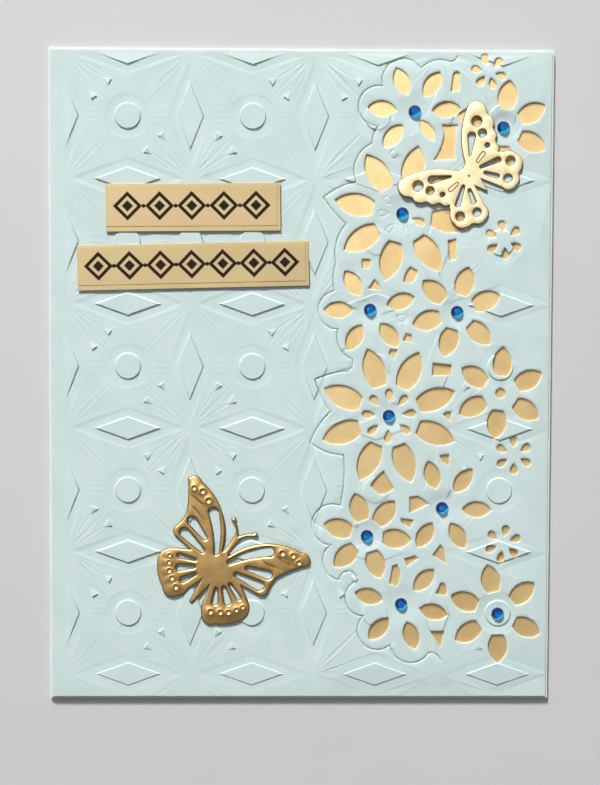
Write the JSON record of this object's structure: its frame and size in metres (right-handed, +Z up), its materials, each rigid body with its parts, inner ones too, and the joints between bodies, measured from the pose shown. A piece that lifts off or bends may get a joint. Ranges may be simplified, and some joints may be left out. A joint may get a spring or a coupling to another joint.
{
  "type": "greeting card",
  "caption": "Folded card with an embossed pale blue front, die-cut flowers over gold, gold strips, butterflies and small blue stones.",
  "frame": {"origin": "middle of the underside of the closed card, which lies on its back leaf", "axes": "+Z up out of the front of the card, +Y towards the top of the picture, +X away from the fold, which runs along the left side"},
  "size_m": [0.108, 0.1396, 0.003],
  "materials": {
    "white_card": "smooth matt card",
    "gold_sheet": "brushed gold mirror card",
    "aqua_paper": "matt embossed paper, pale aqua",
    "gold_label": "satin gold label with a fine brushed grain",
    "bronze_card": "embossed deep gold mirror card",
    "pale_gold_card": "embossed pale gold mirror card",
    "blue_stone": "faceted clear blue stone with a mirrored back"
  },
  "bodies": {
    "root": {"card_base": "white_card", "gold_backing": "gold_sheet", "embossed_panel": "aqua_paper", "upper_strip_mat": "gold_label", "upper_strip_label": "gold_label", "lower_strip_mat": "gold_label", "lower_strip_label": "gold_label", "lower_butterfly": "bronze_card", "upper_butterfly": "pale_gold_card", "gem_1": "blue_stone", "gem_2": "blue_stone", "gem_3": "blue_stone", "gem_4": "blue_stone", "gem_5": "blue_stone", "gem_6": "blue_stone", "gem_7": "blue_stone", "gem_8": "blue_stone", "gem_9": "blue_stone", "gem_10": "blue_stone"}
  },
  "joints": []
}
